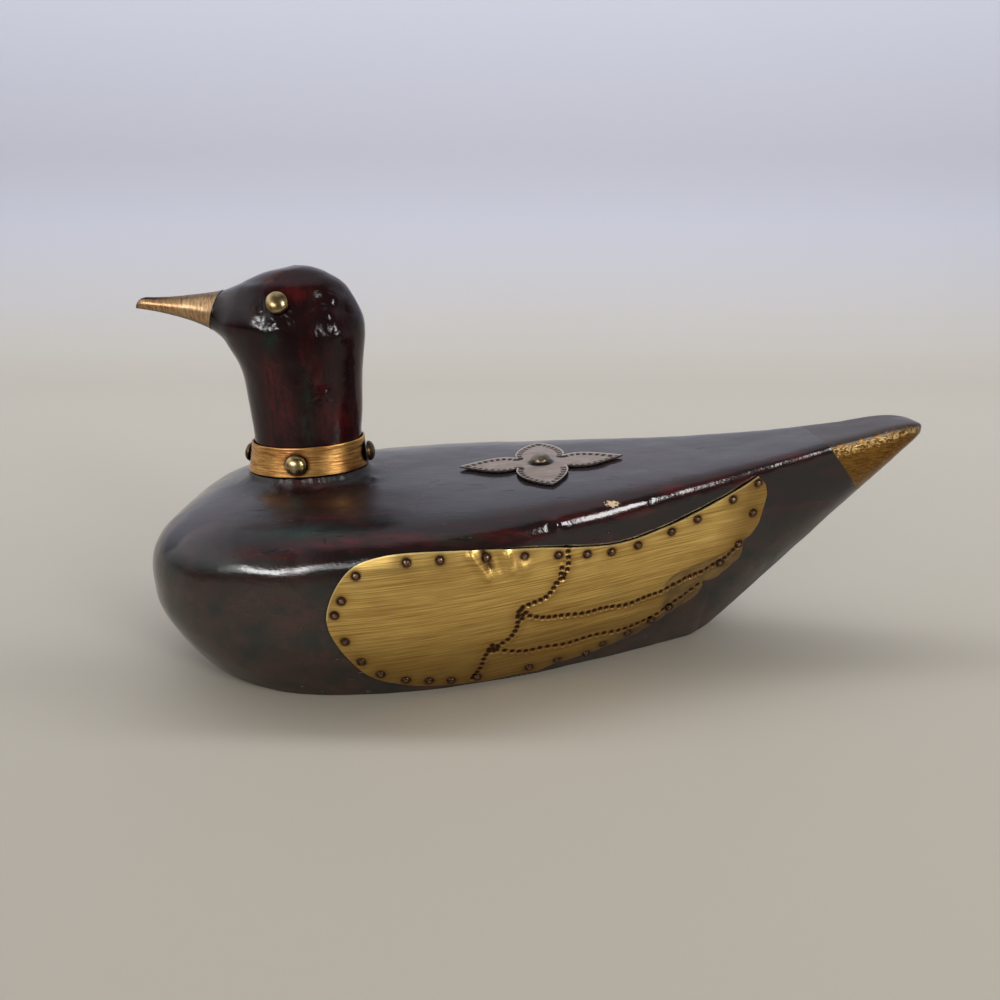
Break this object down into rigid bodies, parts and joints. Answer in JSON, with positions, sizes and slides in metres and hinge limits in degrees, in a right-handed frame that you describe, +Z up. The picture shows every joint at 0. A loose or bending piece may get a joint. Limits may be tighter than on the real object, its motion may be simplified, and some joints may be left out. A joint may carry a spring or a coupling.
{
  "type": "duck decoy",
  "caption": "Carved wooden duck decoy with a dowelled head, pointed gilt bill, nailed collar band, sheet-brass wings and a sheet-metal flower on its back; stands on its flat base.",
  "frame": {"origin": "on the plane of the flat base, under the middle of the overall box", "axes": "+X towards the tail, so the duck faces -X; +Y towards the duck's right side; +Z up"},
  "size_m": [0.3612, 0.1546, 0.1779],
  "materials": {
    "lacquered_wood": "glossy dark red-brown lacquer",
    "bare_wood": "bare",
    "gold_paint": "antique gold paint",
    "gilt_band": "gilt, brushed",
    "sheet_brass": "brushed, aged",
    "flower_metal": "tarnished grey",
    "tack_brass": "antique, polished by wear",
    "pin_metal": "dark patina"
  },
  "bodies": {
    "root": {"back_flower": "flower_metal", "bill": "gold_paint", "body": "lacquered_wood", "collar_band": "gilt_band", "collar_tack_front": "tack_brass", "collar_tack_left": "tack_brass", "collar_tack_rear": "tack_brass", "collar_tack_right": "tack_brass", "flower_tack": "tack_brass", "head": "lacquered_wood", "left_eye_tack": "tack_brass", "left_wing": "sheet_brass", "left_wing_lower_pin_1": "pin_metal", "left_wing_lower_pin_2": "pin_metal", "left_wing_lower_pin_3": "pin_metal", "left_wing_lower_pin_4": "pin_metal", "left_wing_lower_pin_5": "pin_metal", "left_wing_lower_pin_6": "pin_metal", "left_wing_lower_pin_7": "pin_metal", "left_wing_lower_pin_8": "pin_metal", "left_wing_lower_pin_9": "pin_metal", "left_wing_top_pin_1": "pin_metal", "left_wing_top_pin_10": "pin_metal", "left_wing_top_pin_11": "pin_metal", "left_wing_top_pin_12": "pin_metal", "left_wing_top_pin_13": "pin_metal", "left_wing_top_pin_2": "pin_metal", "left_wing_top_pin_3": "pin_metal", "left_wing_top_pin_4": "pin_metal", "left_wing_top_pin_5": "pin_metal", "left_wing_top_pin_6": "pin_metal", "left_wing_top_pin_7": "pin_metal", "left_wing_top_pin_8": "pin_metal", "left_wing_top_pin_9": "pin_metal", "neck_dowel": "bare_wood", "right_eye_tack": "tack_brass", "right_wing": "sheet_brass", "right_wing_lower_pin_1": "pin_metal", "right_wing_lower_pin_2": "pin_metal", "right_wing_lower_pin_3": "pin_metal", "right_wing_lower_pin_4": "pin_metal", "right_wing_lower_pin_5": "pin_metal", "right_wing_lower_pin_6": "pin_metal", "right_wing_lower_pin_7": "pin_metal", "right_wing_lower_pin_8": "pin_metal", "right_wing_lower_pin_9": "pin_metal", "right_wing_top_pin_1": "pin_metal", "right_wing_top_pin_10": "pin_metal", "right_wing_top_pin_11": "pin_metal", "right_wing_top_pin_12": "pin_metal", "right_wing_top_pin_13": "pin_metal", "right_wing_top_pin_2": "pin_metal", "right_wing_top_pin_3": "pin_metal", "right_wing_top_pin_4": "pin_metal", "right_wing_top_pin_5": "pin_metal", "right_wing_top_pin_6": "pin_metal", "right_wing_top_pin_7": "pin_metal", "right_wing_top_pin_8": "pin_metal", "right_wing_top_pin_9": "pin_metal"}
  },
  "joints": []
}
